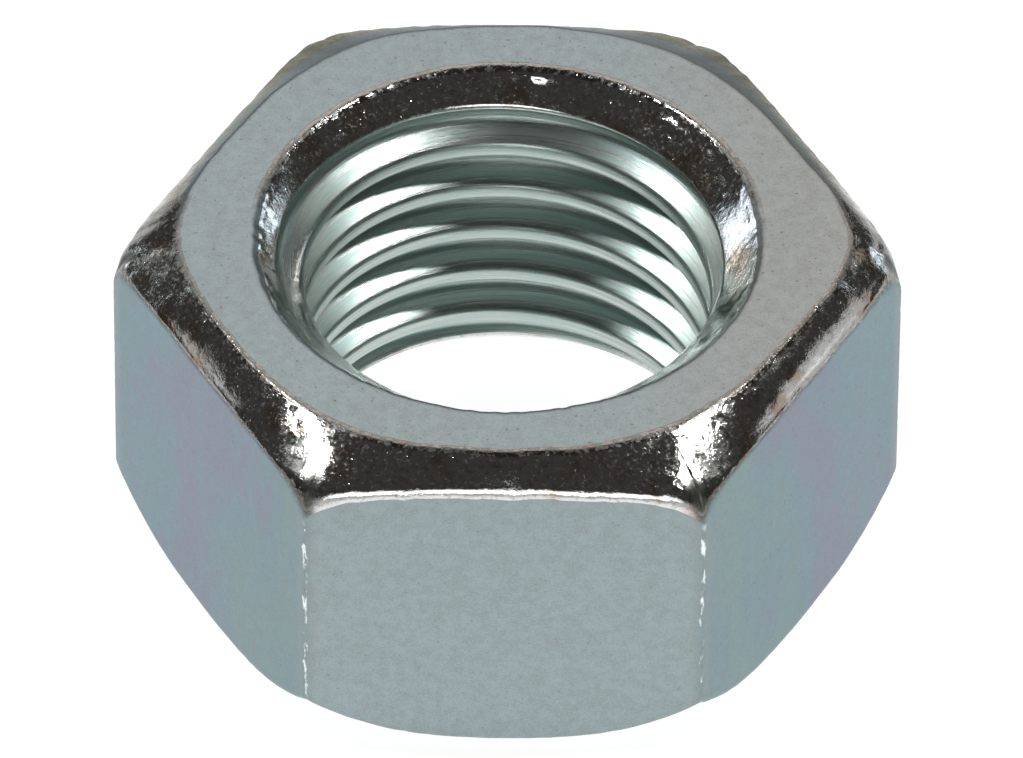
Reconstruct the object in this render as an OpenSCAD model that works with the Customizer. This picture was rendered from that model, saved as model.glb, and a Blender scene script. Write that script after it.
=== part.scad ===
// Hexagon nut with a right-hand metric thread, size M16 by 2.
// The nut stands on its bearing face: the origin is the centre of that face, +Z runs up the bore,
// two flats face -Y and +Y, and two corners point along -X and +X.

/* [Hexagon] */
// Width across flats
across_flats = 24; // [22:0.1:30]
// Height between the two faces
nut_height = 13; // [9:0.1:20]
// Radius of the six upright corners
corner_radius = 0.2; // [0.1:0.05:2]

/* [Chamfers] */
// Width of the top chamfer, measured inwards from the middle of a flat
top_chamfer_width = 1.1; // [0.1:0.05:1.5]
// Width of the bottom chamfer, measured the same way
bottom_chamfer_width = 0.25; // [0.1:0.05:1.5]
// Slope of the top chamfer, in degrees below the face
top_chamfer_slope = 34; // [20:1:45]
// Slope of the bottom chamfer, in degrees above the face
bottom_chamfer_slope = 44; // [20:1:45]

/* [Thread] */
// Nominal diameter, at the bottom of the thread groove
thread_diameter = 16; // [12:0.1:18]
// Distance from one turn to the next
thread_pitch = 2; // [1.75:0.25:3]
// Depth of the groove below the crests
thread_depth = 0.9; // [0.5:0.05:1]
// Turn of the thread about the bore, in degrees
thread_start = 171; // [0:1:359]

/* [Countersinks] */
// How far the top countersink's rim stands outside the thread's nominal diameter, on the radius
top_rim_margin = 0.9; // [0.2:0.05:1.5]
// The same at the bottom countersink
bottom_rim_margin = 0.8; // [0.2:0.05:1.5]
// Included angle of both countersinks, in degrees
countersink_angle = 90; // [60:5:120]

/* [Hidden] */

$fn = 96;

// How far a cutter passes the surface that it cuts
overrun = 1;
// Half of the 60 degree angle between the two flanks of the thread
flank_angle = 30;
// The groove's root is flat over this share of the pitch
root_share = 1 / 8;
// The groove's cutter reaches this far inside the bore wall
groove_reach = 0.2;
// Straight lengths that make up one turn of the groove
steps_per_turn = 36;

corner_circle = (across_flats - 2 * corner_radius) / sqrt(3);
blank_radius = across_flats / sqrt(3) + overrun;
top_face_radius = across_flats / 2 - top_chamfer_width;
bottom_face_radius = across_flats / 2 - bottom_chamfer_width;
root_radius = thread_diameter / 2;
bore_radius = root_radius - thread_depth;

// Depth at the blank's outside of a chamfer that starts at radius r
function chamfer_drop(r, slope) = (blank_radius - r) * tan(slope);

// Half the width of the groove at radius r
function half_groove(r) = thread_pitch * root_share / 2 + (root_radius - r) * tan(flank_angle);

// The blank's upright sides: a hexagon with its six corners rounded
module hexagon() {
    union() {
        for (turn = [0:60:120]) {
            rotate(turn) square([corner_circle, across_flats], center = true);
        }
        for (turn = [0:60:300]) {
            rotate(turn) translate([corner_circle, 0]) circle(r = corner_radius);
        }
    }
}

// The blank's turned outline: both flat rings and both chamfers
module turned_blank() {
    rotate_extrude() polygon([
        [0, 0],
        [bottom_face_radius, 0],
        [blank_radius, chamfer_drop(bottom_face_radius, bottom_chamfer_slope)],
        [blank_radius, nut_height - chamfer_drop(top_face_radius, top_chamfer_slope)],
        [top_face_radius, nut_height],
        [0, nut_height]
    ]);
}

module blank() {
    intersection() {
        linear_extrude(height = nut_height) hexagon();
        turned_blank();
    }
}

// A countersink with its rim at z = 0, opening upwards
module countersink(rim_radius) {
    slope = tan(countersink_angle / 2);
    depth = (rim_radius - bore_radius + overrun) / slope;
    rise = overrun / slope;
    translate([0, 0, -depth])
        cylinder(r1 = bore_radius - overrun, r2 = rim_radius + overrun, h = depth + rise);
}

// The groove's cutter: one trapezium of four points swept up the helix, closed at both ends
module groove() {
    inner = bore_radius - groove_reach;
    outer = root_radius / cos(180 / steps_per_turn);
    turns = ceil(nut_height / thread_pitch) + 2;
    steps = turns * steps_per_turn;
    section = [
        [inner, half_groove(inner)],
        [outer, half_groove(root_radius)],
        [outer, -half_groove(root_radius)],
        [inner, -half_groove(inner)]
    ];
    points = [
        for (step = [0:steps], p = section)
            let (turn = step * 360 / steps_per_turn, rise = (step / steps_per_turn - 1) * thread_pitch)
                [p.x * cos(turn), p.x * sin(turn), p.y + rise]
    ];
    sides = [
        for (step = [0:steps - 1], side = [0:3])
            let (a = 4 * step + side, b = 4 * step + (side + 1) % 4)
                each [[a, a + 4, b + 4], [a, b + 4, b]]
    ];
    ends = [
        [0, 1, 2], [0, 2, 3],
        [4 * steps + 2, 4 * steps + 1, 4 * steps], [4 * steps + 3, 4 * steps + 2, 4 * steps]
    ];
    polyhedron(points = points, faces = concat(sides, ends));
}

module hex_nut() {
    color([0.66, 0.7, 0.72]) difference() {
        blank();
        translate([0, 0, -overrun]) cylinder(r = bore_radius, h = nut_height + 2 * overrun);
        translate([0, 0, nut_height]) countersink(root_radius + top_rim_margin);
        mirror([0, 0, 1]) countersink(root_radius + bottom_rim_margin);
        rotate(thread_start) groove();
    }
}

hex_nut();
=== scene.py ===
import math
import bpy
import numpy as np
from mathutils import Matrix, Vector


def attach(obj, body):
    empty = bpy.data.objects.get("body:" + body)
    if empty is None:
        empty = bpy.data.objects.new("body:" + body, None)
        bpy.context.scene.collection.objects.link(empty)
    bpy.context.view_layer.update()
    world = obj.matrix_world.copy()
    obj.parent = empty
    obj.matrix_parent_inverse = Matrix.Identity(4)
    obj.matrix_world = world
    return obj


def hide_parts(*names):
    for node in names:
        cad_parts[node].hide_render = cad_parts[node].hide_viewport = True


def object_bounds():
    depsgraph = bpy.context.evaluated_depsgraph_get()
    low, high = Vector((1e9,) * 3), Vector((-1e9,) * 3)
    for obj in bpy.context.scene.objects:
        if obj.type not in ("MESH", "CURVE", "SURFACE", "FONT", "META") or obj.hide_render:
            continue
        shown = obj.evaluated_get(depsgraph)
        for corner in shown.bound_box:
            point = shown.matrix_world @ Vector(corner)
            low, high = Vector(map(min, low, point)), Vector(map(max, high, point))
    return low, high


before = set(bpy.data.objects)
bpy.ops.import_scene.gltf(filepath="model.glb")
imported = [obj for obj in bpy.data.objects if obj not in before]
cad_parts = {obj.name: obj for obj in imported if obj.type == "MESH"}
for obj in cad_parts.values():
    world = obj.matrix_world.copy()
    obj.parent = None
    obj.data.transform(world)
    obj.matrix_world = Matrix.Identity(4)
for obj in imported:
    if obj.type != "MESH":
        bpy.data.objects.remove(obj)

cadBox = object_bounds()
mm = 0.001
print("frame loaded, box in mm:", [round(v / mm, 2) for corner in cadBox for v in corner])


class Sock:
    # wraps an output socket, so a sum or product of sockets adds its Math nodes
    def __init__(self, graph, out):
        self.graph, self.out = graph, out

    def _math(self, op, a, b):
        return self.graph.node("ShaderNodeMath", {"operation": op}, {0: a, 1: b})

    def __add__(self, o): return self._math("ADD", self, o)
    def __radd__(self, o): return self._math("ADD", o, self)
    def __sub__(self, o): return self._math("SUBTRACT", self, o)
    def __rsub__(self, o): return self._math("SUBTRACT", o, self)
    def __mul__(self, o): return self._math("MULTIPLY", self, o)
    def __abs__(self): return self.graph.node("ShaderNodeMath", {"operation": "ABSOLUTE"}, {0: self})

    def step(self, low, high):
        # 0 below low, 1 above high, a smooth ramp between
        return self.graph.node("ShaderNodeMapRange", {"interpolation_type": "SMOOTHSTEP"},
                               {"Value": self, "From Min": low, "From Max": high})

    def scaled(self, x, y, z):
        return self.graph.node("ShaderNodeVectorMath", {"operation": "MULTIPLY"}, {0: self, 1: (x, y, z)})

    def dot(self, direction):
        return self.graph.node("ShaderNodeVectorMath", {"operation": "DOT_PRODUCT"},
                               {0: self, 1: direction}, "Value")


class Graph:
    # every node of a material or a world comes from node()
    def __init__(self, tree):
        self.tree = tree

    def node(self, kind, settings=None, inputs=None, output=0):
        n = self.tree.nodes.new(kind)
        for key, value in (settings or {}).items():
            setattr(n, key, value)
        for key, value in (inputs or {}).items():
            self.feed(value, n.inputs[key])
        return Sock(self, n.outputs[output]) if n.outputs else None

    def feed(self, value, socket):
        # a socket is linked, a colour or a number is set
        if isinstance(value, Sock):
            self.tree.links.new(value.out, socket)
        elif socket.type == "RGBA":
            socket.default_value = (*value, 1)
        else:
            socket.default_value = value

    def mark(self, name):
        # a number kept on the mesh's points
        return self.node("ShaderNodeAttribute", {"attribute_name": name}, output="Fac")

    def noise(self, vector, scale, detail=3.0, rough=0.55):
        return self.node("ShaderNodeTexNoise", None,
                         {"Vector": vector, "Scale": scale, "Detail": detail, "Roughness": rough})

    def mix(self, factor, a, b):
        # colour a where the factor is 0, b where it is 1; blend() does the same for numbers
        return self.node("ShaderNodeMix", {"data_type": "RGBA"}, {0: factor, 6: a, 7: b}, 2)

    def blend(self, factor, a, b):
        return self.node("ShaderNodeMix", {"data_type": "FLOAT"}, {0: factor, 2: a, 3: b})


def newMaterial(name):
    # the material, its graph and the sockets of its shader
    material = bpy.data.materials.new(name)
    material.use_nodes = True
    return material, Graph(material.node_tree), material.node_tree.nodes["Principled BSDF"].inputs


nut = {                       # lengths in mm
    "columns": 520,           # steps round the nut
    "columnPull": 0.11,       # draws the steps towards the upright corners
    "acrossFlats": (cadBox[1].y - cadBox[0].y) / mm,
    "height": (cadBox[1].z - cadBox[0].z) / mm,
    "cornerRadius": 0.2,      # of the six upright corners
    "topRim": 8.9,            # countersink rims
    "bottomRim": 8.8,
    "rimRound": 0.17,         # length that rounds each rim
    "rimStep": 0.3,           # how far the outermost rows reach into the countersinks
    "rimWaver": 0.03,         # how far the top rim wanders
    "bottomRing": 11.75,
    "bottomDrop": (0.25, 2.05),           # bottom chamfer at a flat's middle and at a corner
    "bottomCurve": 3.1,       # how late it falls towards the corner
    "bottomWaver": 0.02,      # how far its upper edge wanders
    "bottomSoft": (0.2, 0.12),            # lengths that round its upper and lower edge
    # the top chamfer is given one entry per corner, counter-clockwise from +X, and one per
    # flat in between; ring is the flat top's outer edge, drop the depth where it meets the side
    "cornerRing": (12.0, 11.25, 11.3, 11.55, 11.2, 11.1),
    "cornerDrop": (1.1, 1.5, 1.4, 1.35, 1.25, 1.25),
    "cornerSoft": (1.2, 1.0, 1.0, 0.9, 1.1, 1.1),   # length that rounds the nose under it
    "flatRing": (11.05, 11.02, 11.0, 10.95, 10.9, 11.0),
    "flatDrop": (0.8, 0.95, 1.1, 1.35, 0.97, 1.45),
    "flatSoft": (0.16, 0.2, 0.16, 0.18, 0.26, 0.18),
    "flatShine": (0.0, 0.0, 0.0, 0.0, 1.2, 0.0),     # polish of the flat's top edge
    "cornerShine": 0.3,
    "flatCrown": (0.04, 0.03, 0.04, 0.07, 0.03, 0.13),  # how far the chamfer bulges
    "cornerCrown": (0.06, 0.03, 0.03, 0.04, 0.03, 0.03),
    "flatDullShade": (1.0, 1.0, 1.0, 0.0, 0.0, 0.0),      # how dull the chamfer is, and how much painted shade darkens it
    "cornerDullShade": (0.1, 1.0, 1.0, 0.1, 0.0, 0.0),
    "ringSoft": 0.14,         # length that rounds the ring's edge
    "ringWaver": (0.05, 0.025),           # how far that edge wanders, in broad and in fine waves
    "dropWaver": (0.03, 0.05),            # the same for the chamfer's lower edge
    "roll": (0.7, 0.035),     # width and depth of the soft band beside an upright corner
    "nose": (0.95, 0.13, 2.45, 1.5),       # the same near the top, and the depths it lies between
    "noCorner": 9.0,          # stands for a distance to an upright corner where there is none
    "dents": ((0.013, 0.9, 21), (0.005, 0.35, 17)),     # depth, size and seed of each kind
}

thread = {
    "pitch": 2.0,
    "crestRadius": 7.1,
    "rootRadius": 8.0,
    "crestAtBack": 0.55,      # height of a crest's middle on the +Y side, within one pitch
    "crestWidth": 0.56,
    "soften": 0.055,          # rounds crest edges and roots
    "flank": 30,              # degrees between a flank and the plane across the axis
    "runOut": 0.10,           # rounds where the thread fades into a countersink
    "fade": 0.12,             # width over which the thread's finish gives way to the countersink's
    "calm": 0.85,             # how much of the dents the thread is spared
    "endGap": 0.02,           # the bore's own points keep this far off its two end circles
    # where its rows lie across one turn, as shares of the pitch
    "rows": (-0.5, -0.45, -0.40, -0.33, -0.26, -0.21, -0.17, -0.13, -0.08,
             0.0, 0.08, 0.13, 0.17, 0.21, 0.26, 0.33, 0.40, 0.45),
}


def lumps(points, size, seed):
    # value noise from -1 to 1: random numbers at the corners of cubes of this size, eased between
    lattice = np.random.default_rng(seed).uniform(-1, 1, (32, 32, 32))
    p = points / size
    cell = np.floor(p).astype(int)
    f = p - cell
    f = f * f * (3 - 2 * f)
    total = 0
    for corner in np.ndindex(2, 2, 2):
        weight = np.prod(np.where(corner, f, 1 - f), -1)
        near = (cell + corner) % 32
        total = total + weight * lattice[near[..., 0], near[..., 1], near[..., 2]]
    return total


def ease(t):
    # t held between 0 and 1, then 3t^2 - 2t^3
    t = np.clip(t, 0, 1)
    return t * t * (3 - 2 * t)


def columnAngles(count):
    # equal steps u, drawn towards the corners: angle = u - columnPull sin(6u)
    u = np.arange(count) * 2 * np.pi / count
    return u - nut["columnPull"] * np.sin(6 * u)


def offMiddle(angle):
    # angle off the middle of the nearest flat
    return np.mod(angle, np.pi / 3) - np.pi / 6


def round6(angle, flats, corners, blend):
    # a value that equals flats[i] at the middle of flat i and corners[i] at its corners; blend
    # turns the share of the way to the corner into the share of the corner's value
    flat = np.floor(angle / (np.pi / 3)).astype(int) % 6
    off = offMiddle(angle) / (np.pi / 6)
    corner = np.where(off > 0, flat + 1, flat) % 6
    a, b = np.array(flats)[flat], np.array(corners)[corner]
    return a + (b - a) * blend(np.abs(off))


def hexagonRadius(angle, depth):
    # distance to a flat is half the width over the cosine of the angle off its middle; near a corner
    # it is that of a small circle tangent to both flats; the roll and the nose then lower it by a
    # parabola over their width beside the corner. Also gives how far they lower it
    half, r = nut["acrossFlats"] / 2, nut["cornerRadius"]
    off = offMiddle(angle)
    toCorner = np.pi / 6 - np.abs(off)
    centre = (half - r) * 2 / np.sqrt(3)
    side = centre * np.sin(toCorner)
    rounded = centre * np.cos(toCorner) + np.sqrt(np.maximum(r * r - side * side, 0))
    tangent = np.arctan2(r / 2, centre + r * np.sqrt(3) / 2)
    along = half * (np.tan(np.pi / 6) - np.tan(np.abs(off)))
    width, deep = nut["roll"]
    noseWidth, noseDeep, start, full = nut["nose"]
    near = ease((start - depth) / (start - full))
    roll = deep * np.clip(1 - along / width, 0, 1) ** 2
    nose = noseDeep * near * np.clip(1 - along / noseWidth, 0, 1) ** 2
    return np.where(toCorner < tangent, rounded, half / np.cos(off)) - roll - nose, roll + nose


def eased(start, corner, end, length, steps):
    # a rounded corner: p = (1-t)^2 a + 2t(1-t) corner + t^2 b, between two points set back by
    # length along the straights
    def setBack(to):
        d = to - corner
        size = np.linalg.norm(d, axis=-1, keepdims=True)
        return corner + d / size * np.minimum(length, size * 0.48)
    a, b = setBack(start), setBack(end)
    t = np.linspace(0, 1, steps)[:, None, None]
    return (1 - t) ** 2 * a + 2 * t * (1 - t) * corner + t ** 2 * b


def outerRows(angle):
    # the outline of each column, from the top countersink over the ring, down a side and back to
    # the bottom countersink, as rows of (radius, height), and what the finish reads at each point:
    # straights between eight corner points, the six inner ones rounded, and the chamfer bulging by
    # its crown times 4t(1-t)
    n, h = nut, nut["height"]
    share = np.abs(offMiddle(angle) / (np.pi / 6))       # 0 at a flat's middle, 1 at a corner
    around = np.stack([np.cos(angle), np.sin(angle), 0 * angle], -1)
    broad, fine = lumps(around * 11, 1.2, 3), lumps(around * 12, 0.33, 4)
    side, rolled = hexagonRadius(angle, np.full_like(angle, h / 2))

    def at(r, z):
        return np.stack([r + 0 * angle, z + 0 * angle], -1)
    broadly, finely = n["ringWaver"]
    ring = round6(angle, n["flatRing"], n["cornerRing"], ease) + broadly * broad + finely * fine
    broadly, finely = n["dropWaver"]
    drop = round6(angle, n["flatDrop"], n["cornerDrop"], lambda t: t ** 4) + broadly * broad + finely * fine
    soft = round6(angle, n["flatSoft"], n["cornerSoft"], lambda t: t ** 9)[:, None]
    shallow, deep = n["bottomDrop"]
    bottomDrop = shallow + (deep - shallow) * share ** n["bottomCurve"] + n["bottomWaver"] * fine
    waver, step = n["rimWaver"], n["rimStep"]
    rim = n["topRim"] + waver * lumps(around * 9, 1.3, 5) + waver * lumps(around * 9, 0.3, 6)
    corners = [at(rim - step, h - step), at(rim, h), at(ring, h), at(side, h - drop), at(side, bottomDrop),
               at(n["bottomRing"], 0), at(n["bottomRim"], 0), at(n["bottomRim"] - step, step)]

    # polish is 0 on satin and 1 on bright metal: the top rim is brighter at the back, the chamfer's
    # lower edge fades towards each flat's own shine, and a dull chamfer, darkened at the back with painted
    # shade, is satin at the ring
    chamfer, edgeRows = np.linspace(0.09, 0.91, 10), 9
    worn = 0.15 + 0.4 * ease(0.3 + np.sin(angle))
    shine = round6(angle, n["flatShine"], (n["cornerShine"],) * 6, lambda t: t ** 9)
    shine = 1 + (shine - 1) * np.linspace(0, 1, edgeRows)[:, None]
    dullShade = round6(angle, n["flatDullShade"], n["cornerDullShade"], ease)

    # each straight as the places of its rows and their polish, then the rounded corner at its end
    # as a length, a number of rows and their polish
    upperSoft, lowerSoft = n["bottomSoft"]
    parts = [([0.5], 1.0, n["rimRound"], 6, worn),
             ([0.03, 0.25, 0.75, 0.97], 0.0, n["ringSoft"], 5, 0.5 * (1 - dullShade)),
             (chamfer, 1 - dullShade * (1 - chamfer[:, None]), soft, edgeRows, shine),
             (0.004 + 0.99 * np.linspace(0, 1, 18) ** 1.9, 0.0, upperSoft, 4, 0.2),
             ([0.3, 0.6], 0.3, lowerSoft, 3, 0.2),
             ([0.33, 0.66], 0.0, n["rimRound"], 4, 0.4)]
    rows, polish = [corners[0][None]], [np.ones((1, len(angle)))]
    for i, (places, straightPolish, length, steps, edgePolish) in enumerate(parts, 1):
        arc = eased(corners[i - 1], corners[i], corners[i + 1], length, steps)
        last = rows[-1][-1]
        run, t = arc[0] - last, np.array(places)[:, None, None]
        straight = last + run * t
        if places is chamfer:
            up = np.stack([-run[:, 1], run[:, 0]], -1) / np.linalg.norm(run, axis=-1, keepdims=True)
            crown = round6(angle, n["flatCrown"], n["cornerCrown"], ease)[:, None]
            straight = straight + up * crown * 4 * t * (1 - t)
        rows += [straight, arc]
        polish += [np.ones((len(t), len(angle))) * straightPolish,
                   np.ones((steps, len(angle))) * edgePolish]
    rows = np.concatenate([*rows, corners[-1][None]])
    polish = np.concatenate([*polish, np.ones((1, len(angle)))])

    # the nose: everything outside the ring is pulled in beside the upright corners
    depth = h - rows[..., 1]
    pull = hexagonRadius(angle[None] + 0 * depth, depth)[1] - rolled
    outside = ease((rows[..., 0] - ring) / (side - ring))
    rows[..., 0] -= pull * outside
    nose = ease((pull - 0.02) / 0.07) * (outside > 0.8)
    polish = np.maximum(polish, nose)
    along = n["acrossFlats"] / 2 * (np.tan(np.pi / 6) - np.tan(np.abs(offMiddle(angle))))
    corner = np.where((outside > 0.9) & (rows[..., 1] < h - 1), along, n["noCorner"])
    dullShade = dullShade * (rows[..., 0] > ring)
    return rows, {"polish": polish, "nose": nose, "corner": corner, "dullShade": dullShade}


def softMax(a, b, width):
    # the larger of two values, with the crease between them rounded over about this width
    return (a + b + np.sqrt((a - b) ** 2 + width ** 2)) / 2


def boreRadius(angle, z):
    # thread: crest radius plus a ramp at the flank's slope, held between crest and root; each
    # countersink is a 45 degree cone, and the larger radius wins. Also gives the place across the
    # thread, a whole number at each crest's middle, and how far the cut lies outside the cones
    t, n = thread, nut
    turn = (z - t["crestAtBack"]) / t["pitch"] - (angle / (2 * np.pi) - 0.25)
    off = np.abs(turn - np.round(turn)) * t["pitch"]
    ramp = softMax((off - t["crestWidth"] / 2) / math.tan(math.radians(t["flank"])), 0, t["soften"] * 2)
    depth = t["rootRadius"] - t["crestRadius"]
    cut = t["crestRadius"] + depth - softMax(depth - ramp, 0, t["soften"] * 2)
    cone = np.maximum(n["topRim"] - (n["height"] - z), n["bottomRim"] - z)
    return softMax(cut, cone, t["runOut"]), turn, cut - cone


def gridFaces(ids):
    # two triangles for every cell of a grid of point numbers
    a, b, c, d = ids[:-1, :-1], ids[:-1, 1:], ids[1:, 1:], ids[1:, :-1]
    return np.concatenate([np.stack([a, c, b], -1).reshape(-1, 3), np.stack([a, d, c], -1).reshape(-1, 3)])


def buildNut():
    # a grid of points (r cos angle, r sin angle, z): the outer rows outside, and inside rows that
    # climb one pitch a turn at the bore's radius; both share their columns and meet at two circles
    cols = nut["columns"]
    angle = columnAngles(cols)
    outer, outerMarks = outerRows(angle)
    rowCount = len(outer)
    r, z = outer[..., 0], outer[..., 1]
    outerPoints = np.stack([r * np.cos(angle), r * np.sin(angle), z], -1).reshape(-1, 3)
    loop = np.append(np.arange(cols), 0)

    # a row that climbs out of the bore stops on its end circle
    perTurn = np.array(thread["rows"])
    k = np.arange((int(nut["height"] / thread["pitch"]) + 3) * len(perTurn))
    level = (perTurn[k % len(perTurn)] + k // len(perTurn) - 1) * thread["pitch"]
    turned = np.append(angle, 2 * np.pi) / (2 * np.pi) - 0.25
    climb = level[:, None] + thread["crestAtBack"] + turned * thread["pitch"]
    low, high = z[-1].max() + thread["endGap"], z[0].min() - thread["endGap"]
    ids = np.where(climb >= high, loop, (rowCount - 1) * cols + loop)
    own = ((climb > low) & (climb < high))[:, :cols]
    number = np.cumsum(own.ravel()).reshape(own.shape) - 1 + rowCount * cols
    ids[:, :cols] = np.where(own, number, ids[:, :cols])
    ids[:, cols] = np.append(ids[len(perTurn):, 0], np.full(len(perTurn), ids[-1, 0]))
    boreAngle, boreZ = np.broadcast_to(angle, own.shape)[own], climb[:, :cols][own]
    rBore, turn, clear = boreRadius(boreAngle, boreZ)
    borePoints = np.stack([rBore * np.cos(boreAngle), rBore * np.sin(boreAngle), boreZ], -1)
    points = np.concatenate([outerPoints, borePoints])
    faces = np.concatenate([gridFaces(np.arange(rowCount)[:, None] * cols + loop), gridFaces(ids)])
    a, b, c = faces.T
    faces = faces[(a != b) & (b != c) & (a != c)]

    # marks the finish reads: polish, nose, distance to an upright corner, tarnish, thread, and
    # where a point lies across one turn of the thread
    blank = np.zeros(len(outerPoints))
    threaded = np.concatenate([blank, ease(clear / thread["fade"] + 0.5)])
    inBore = {"polish": 1.0, "nose": 0.0, "corner": nut["noCorner"], "dullShade": 0.0}
    marks = {name: np.concatenate([outerMarks[name].ravel(), np.full(len(turn), inBore[name])])
             for name in inBore}
    marks["threaded"] = threaded
    marks["acrossCos"] = np.concatenate([blank, np.cos(turn * 2 * np.pi)])
    marks["acrossSin"] = np.concatenate([blank, np.sin(turn * 2 * np.pi)])
    # dents and chatter: polished metal is lumpier than the satin faces, and only ever pressed in
    # towards the axis, or away from it in the bore
    out = points * (1, 1, 0)
    out /= np.linalg.norm(out, axis=1, keepdims=True)
    out[len(blank):] *= -1
    press = sum(depth * lumps(points, size, seed) ** 2 for depth, size, seed in nut["dents"])
    points = points - out * (press * marks["polish"] * (1 - thread["calm"] * threaded))[:, None]
    return points, faces, marks


def makeNut():
    # one closed mesh of triangles, its points held inside the CAD's box
    points, faces, marks = buildNut()
    points = np.clip(points, np.array(cadBox[0]) / mm, np.array(cadBox[1]) / mm) * mm
    mesh = bpy.data.meshes.new("hexNut")
    mesh.vertices.add(len(points))
    mesh.vertices.foreach_set("co", points.ravel())
    mesh.loops.add(faces.size)
    mesh.loops.foreach_set("vertex_index", faces.ravel().astype(np.int32))
    mesh.polygons.add(len(faces))
    mesh.polygons.foreach_set("loop_start", np.arange(0, faces.size, 3, dtype=np.int32))
    mesh.polygons.foreach_set("use_smooth", np.ones(len(faces), bool))
    mesh.update(calc_edges=True)
    mesh.validate()
    for name, values in marks.items():
        mesh.attributes.new(name, "FLOAT", "POINT").data.foreach_set("value", values.astype(np.float32))
    piece = bpy.data.objects.new("hexNut", mesh)
    bpy.context.scene.collection.objects.link(piece)
    print("nut surface:", len(points), "points,", len(faces), "triangles")
    return piece


plating = {
    "face": (0.325, 0.395, 0.410),     # satin faces, a faint blue
    "teal": (0.190, 0.294, 0.335),     # passivate tint, and painted shade that darkens the four side faces against the front and back
    "violet": (0.238, 0.250, 0.330),
    "green": (0.215, 0.315, 0.305),
    "tan": (0.37, 0.36, 0.33),
    "dull": (0.12, 0.165, 0.19),
    "speck": (0.13, 0.14, 0.14),
    "nose": (0.13, 0.13, 0.11),        # rough metal under the chamfer's corners
    "polished": (0.72, 0.73, 0.72),    # chamfers and countersinks
    "stained": (0.54, 0.40, 0.31),
    "rustShade": (0.26, 0.25, 0.17),        # painted shade with a dull olive tone, on the chamfers at the back
    "hair": (0.15, 0.125, 0.10),       # grime where satin meets polished metal
    "thread": (0.60, 0.63, 0.605),
    "threadDark": (0.37, 0.52, 0.50),
    "threadBrown": (0.36, 0.34, 0.28),
    "burnishedAndGlint": (0.84, 0.88, 0.90),   # worn upright corners, partly a painted highlight
    "faceRough": 0.40,
    "polishedRough": 0.04,
    "scuffRough": 0.27,                # what scuffs and the dull, shaded back chamfers add to it
    "dullShadeRough": 0.30,
    "threadRough": 0.31,
    "noseRough": 0.36,
    "burnishedAndGlintRough": 0.2,
    "bumpStrength": 0.6,
    "bumpDepth": 0.035,                # mm
}


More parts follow.
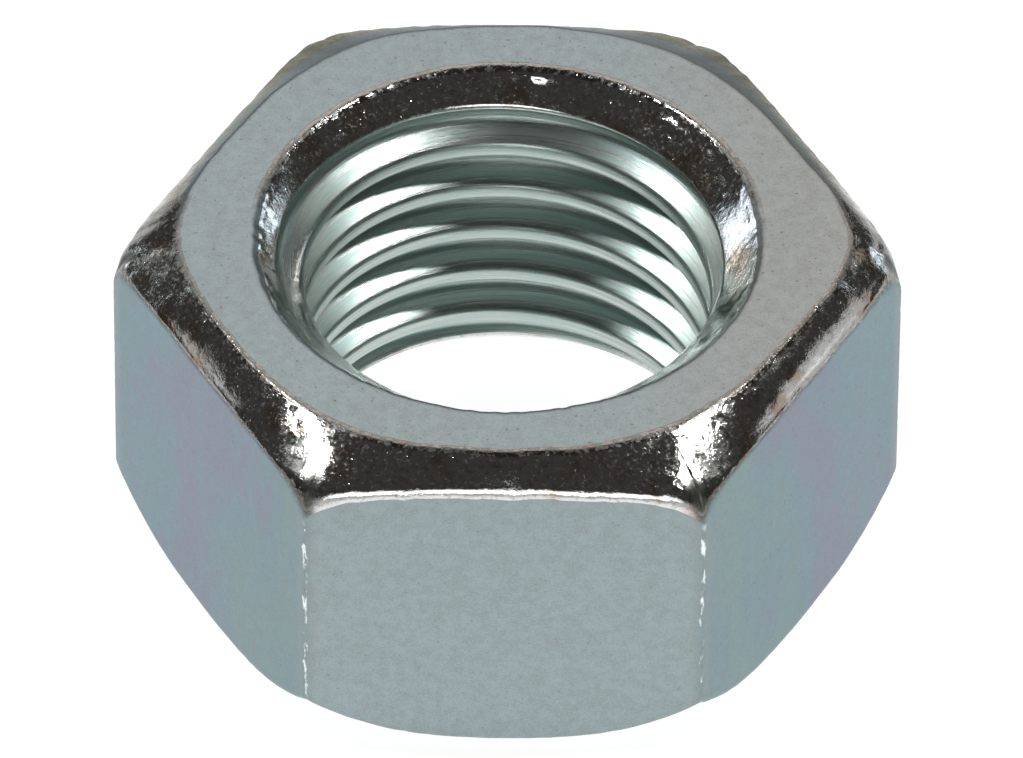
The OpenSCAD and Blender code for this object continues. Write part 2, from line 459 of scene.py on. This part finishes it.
def zincPlating():
    # every pattern is in mm: noise of scale s has lumps about 1/s mm wide
    p = plating
    material, g, shader = newMaterial("zinc plating")
    place = g.node("ShaderNodeTexCoord", output="Object").scaled(1 / mm, 1 / mm, 1 / mm)
    x, y, z = (place.dot(axis) for axis in ((1, 0, 0), (0, 1, 0), (0, 0, 1)))
    polish, nose, corner, dullShade, threaded, acrossCos, acrossSin = (g.mark(name) for name in (
        "polish", "nose", "corner", "dullShade", "threaded", "acrossCos", "acrossSin"))

    # a ragged border between satin and polished metal
    ragged = g.noise(place.scaled(1, 1, 0.6), 4.5, 3.0, 0.6)
    bright = (polish + (ragged - 0.5) * 0.9).step(0.40, 0.60)

    # satin: passivate colours drift in soft clouds, and the four faces beside the front and back faces are
    # more teal and darker, a passivate tint with painted shade
    cloud = g.noise(place.scaled(1, 1, 0.6), 0.16, 2.0, 0.5)
    mottle = g.noise(place, 2.8, 4.0, 0.7)
    # painted shade with a teal tint: the four side faces are made darker than the front and back
    sideTintAndShade = abs(x).step(6.3, 7.2) * (1 - z.step(12, 12.8))
    satin = g.mix(sideTintAndShade * (0.7 + cloud * 0.5), p["face"], p["teal"])

    # a band of violet down each outer face, its edges wandering, and greener beside it
    wander = g.noise(place.scaled(1, 1, 0.45), 0.35, 3.0, 0.65)
    outFace = abs(x).step(6.6, 7.4) * (1 - z.step(11.5, 12.2))
    across = abs(x) + (wander - 0.5) * 9 + z * 0.16 - 12.0
    satin = g.mix(outFace * abs(across).step(1.9, 0.0) * 0.8, satin, p["violet"])
    satin = g.mix(outFace * abs(across + 3.2).step(1.6, 0.2) * 0.6, satin, p["green"])

    # the ring is warmer to the right; then specks, brown spots and a dull grain over all of it
    top = z.step(12.6, 12.95)
    satin = g.mix(mottle.step(0.4, 0.8) * 0.35 + top * x.step(1, 12) * 0.55, satin, p["tan"])
    speck = g.noise(place, 6.0, 1.0).step(0.69, 0.76)
    satin = g.mix(speck * 0.35, satin, p["speck"])
    spot = g.noise(place, 1.5, 2.0).step(0.70, 0.80)
    satin = g.mix(spot * 0.35, satin, p["threadBrown"])
    grain = g.noise(place, 14.0, 2.0, 0.7)
    satin = g.mix((grain - 0.5) * 1.0 + (mottle - 0.5) * 0.6 + 0.12, satin, p["dull"])

    # polished metal: brown stains, a fine tan mottle, and painted shade with a dull olive tone on the
    # chamfers at the back
    stain = g.noise(place, 0.7, 3.0).step(0.52, 0.70)
    polished = g.mix(stain * 0.8, p["polished"], p["stained"])
    polished = g.mix(g.noise(place, 5.0, 3.0, 0.7).step(0.50, 0.66) * 0.6, polished, p["tan"])
    # painted shade: the back chamfers are darkened towards a dull olive
    polished = g.mix(dullShade * (0.85 + stain * 0.15), polished, p["rustShade"])

    # tooling lines run along the thread: the noise changes fast across a turn, slowly along it
    lineAt = g.node("ShaderNodeCombineXYZ", None,
                    {0: x * 0.10 + acrossCos * 2.2, 1: y * 0.10, 2: acrossSin * 2.2})
    line = g.noise(lineAt, 2.6, 5.0, 0.75)
    cut = g.mix(line.step(0.35, 0.65), p["thread"], p["threadDark"])
    cut = g.mix(g.noise(lineAt, 1.3, 4.0, 0.7).step(0.54, 0.66) * 0.5, cut, p["threadBrown"])
    colour = g.mix(bright, satin, g.mix(threaded, polished, cut))

    # the upright corners are rubbed bright in a broken line, worn metal and partly a painted highlight,
    # with a soft dull band beside it
    lineBreaks = g.noise(place.scaled(1, 1, 0.35), 4.0, 3.0)
    rubbedAndGlint = (corner + (ragged - 0.5) * 0.3).step(0.12, 0.04) * lineBreaks.step(0.48, 0.60) * z.step(10.7, 10.3)
    colour = g.mix(corner.step(0.75, 0.25) * 0.22, colour, p["tan"])
    # grime gathers in a thin line where the polish is half way, and on the noses
    hair = 1 - abs(polish - 0.5) * 2 + (ragged - 0.5) * 1.2 - dullShade
    colour = g.mix(hair.step(0.5, 1.0) * 0.7, colour, p["hair"])
    colour = g.mix(nose * (0.6 + ragged * 0.5), colour, p["nose"])
    # painted highlight with wear: the bright broken line down each upright corner
    colour = g.mix(rubbedAndGlint, colour, p["burnishedAndGlint"])

    # roughness follows the same areas
    faceRough = p["faceRough"] + (mottle - 0.5) * 0.14
    scuffs = g.noise(place, 6.5, 4.0, 0.75).step(0.40, 0.76)
    polishedRough = p["polishedRough"] + scuffs * p["scuffRough"] + dullShade * p["dullShadeRough"]
    threadRough = p["threadRough"] + (line - 0.5) * 0.4
    rough = g.blend(bright, faceRough, g.blend(threaded, polishedRough, threadRough))
    rough = g.blend(rubbedAndGlint, g.blend(nose, rough, p["noseRough"]), p["burnishedAndGlintRough"])

    # height: grain and specks on satin, swells, patches of scuffs and pits on polished metal
    faceHeight = mottle * 0.22 + g.noise(place, 11.0, 2.0) * 0.12 - speck * 0.3
    pits = g.noise(place, 6.3, 1.0).step(0.72, 0.84)
    scuffed = g.noise(place, 1.1, 2.0).step(0.46, 0.62) * 0.55 + 0.22
    swell = g.noise(place, 2.1, 2.0, 0.5) * 0.35
    polishHeight = swell + g.noise(place, 7.5, 3.0, 0.65) * scuffed - pits * 0.5
    height = g.blend(bright, faceHeight, g.blend(threaded, polishHeight, line * 0.6 + ragged * 0.05))
    normal = g.node("ShaderNodeBump", None,
                    {"Height": height, "Strength": p["bumpStrength"], "Distance": p["bumpDepth"] * mm})

    g.feed(colour, shader["Base Color"])
    g.feed(rough, shader["Roughness"])
    g.feed(normal, shader["Normal"])
    shader["Metallic"].default_value = 1.0
    return material


studio = {
    "floorGlow": (0.94, 0.36),              # beside the nut and far away
    "glowReach": (30, 56),                  # mm over which it falls off
    "floorSize": 2.4,                       # metres
    "floorGap": 0.1,                        # mm below the nut
    "floorPaint": 0.25,
    "floorRough": 0.9,
    "leftLamp": (-0.61, 0.07, 0.79),        # direction of each lamp
    "rightLamp": (0.57, 0.04, 0.82),
    "lampDistance": 0.35,                   # metres
    "lampSize": (0.026, 0.045),
    "lampPower": 0.32,                      # watts
    "dark": (0.042, 0.040, 0.037),          # the unlit room
    # soft glowing areas of the room: direction, degrees from its middle where it starts to fade
    # and where it has gone, colour
    "glows": (((0.0, 0.64, 0.768), 20, 35, (1.26, 1.18, 1.15)),
              ((0.70, 0.36, 0.62), 7, 15, (0.60, 0.60, 0.56)),
              ((-0.70, 0.36, 0.62), 7, 15, (0.80, 0.80, 0.76)),
              ((0.81, 0.58, 0.08), 4, 9, (1.5, 1.75, 1.95)),
              ((-0.81, 0.58, 0.08), 5, 10, (1.9, 2.1, 2.3)),
              ((0.0, -0.985, 0.10), 8, 30, (2.6, 2.6, 2.6))),
    "cameraDistance": 0.602,                # metres from aim
    "azimuth": -0.23, "elevation": 43.27, "roll": -0.43,
    "aim": (0.17, -0.34, 6.5),              # mm
    "lens": 602.7, "sensor": 36,            # mm
    "clip": (0.01, 10),                     # metres
}


def makeFloor():
    # a flat square just below the nut that glows white beside it and fades with distance
    s = studio
    half = s["floorSize"] / 2
    around = [(-half, -half, 0), (half, -half, 0), (half, half, 0), (-half, half, 0)]
    mesh = bpy.data.meshes.new("floor")
    mesh.from_pydata(around, [], [(0, 1, 2, 3)])
    floor = bpy.data.objects.new("floor", mesh)
    floor.location.z = -s["floorGap"] * mm
    bpy.context.scene.collection.objects.link(floor)
    material, g, shader = newMaterial("white light table")
    place = g.node("ShaderNodeTexCoord", output="Object")
    away = g.node("ShaderNodeVectorMath", {"operation": "LENGTH"}, {0: place}, "Value")
    near, far = s["glowReach"]
    bright, dim = s["floorGlow"]
    g.feed(g.mix(away.step(near * mm, far * mm), (bright,) * 3, (dim,) * 3), shader["Emission Color"])
    g.feed((s["floorPaint"],) * 3, shader["Base Color"])
    shader["Roughness"].default_value = s["floorRough"]
    shader["Specular IOR Level"].default_value = 0.0
    shader["Emission Strength"].default_value = 1.0
    mesh.materials.append(material)


def makeLamp(name, direction):
    # a small rectangle of light that faces the origin
    s = studio
    data = bpy.data.lights.new(name, "AREA")
    data.shape, data.energy = "RECTANGLE", s["lampPower"]
    data.size, data.size_y = s["lampSize"]
    lamp = bpy.data.objects.new(name, data)
    d = Vector(direction).normalized()
    lamp.location = d * s["lampDistance"]
    lamp.rotation_euler = (-d).to_track_quat("-Z", "Y").to_euler()
    bpy.context.scene.collection.objects.link(lamp)


def makeWorld():
    # a dark room with a few soft glowing areas
    world = bpy.data.worlds.new("studio")
    bpy.context.scene.world = world
    world.use_nodes = True
    world.node_tree.nodes.clear()
    g = Graph(world.node_tree)
    way = g.node("ShaderNodeTexCoord", output="Generated")
    room = studio["dark"]
    for direction, core, edge, colour in studio["glows"]:
        towards = way.dot(Vector(direction).normalized())
        lit = towards.step(math.cos(math.radians(edge)), math.cos(math.radians(core)))
        room = g.mix(lit, room, colour)
    back = g.node("ShaderNodeBackground", None, {"Color": room})
    g.node("ShaderNodeOutputWorld", None, {"Surface": back})


def makeCamera():
    # in front of the nut and above it, turned to aim
    s = studio
    data = bpy.data.cameras.new("camera")
    camera = bpy.data.objects.new("camera", data)
    bpy.context.scene.collection.objects.link(camera)
    bpy.context.scene.camera = camera
    az, el = math.radians(s["azimuth"]), math.radians(s["elevation"])
    toCamera = Vector((-math.sin(az) * math.cos(el), -math.cos(az) * math.cos(el), math.sin(el)))
    camera.location = Vector(s["aim"]) * mm + toCamera * s["cameraDistance"]
    turn = (-toCamera).to_track_quat("-Z", "Y").to_matrix().to_4x4()
    turn = turn @ Matrix.Rotation(math.radians(-s["roll"]), 4, "Z")
    camera.rotation_euler = turn.to_euler()
    data.sensor_width, data.lens = s["sensor"], s["lens"]
    data.clip_start, data.clip_end = s["clip"]


makeFloor()
makeLamp("right lamp", studio["rightLamp"])
makeLamp("left lamp", studio["leftLamp"])
makeWorld()
makeCamera()
print("stage, lamps and camera made")

piece = makeNut()
piece.data.materials.append(zincPlating())
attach(piece, "root")
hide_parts("hex_nut")
bpy.context.scene.view_settings.view_transform = "Standard"
print("nut finished")
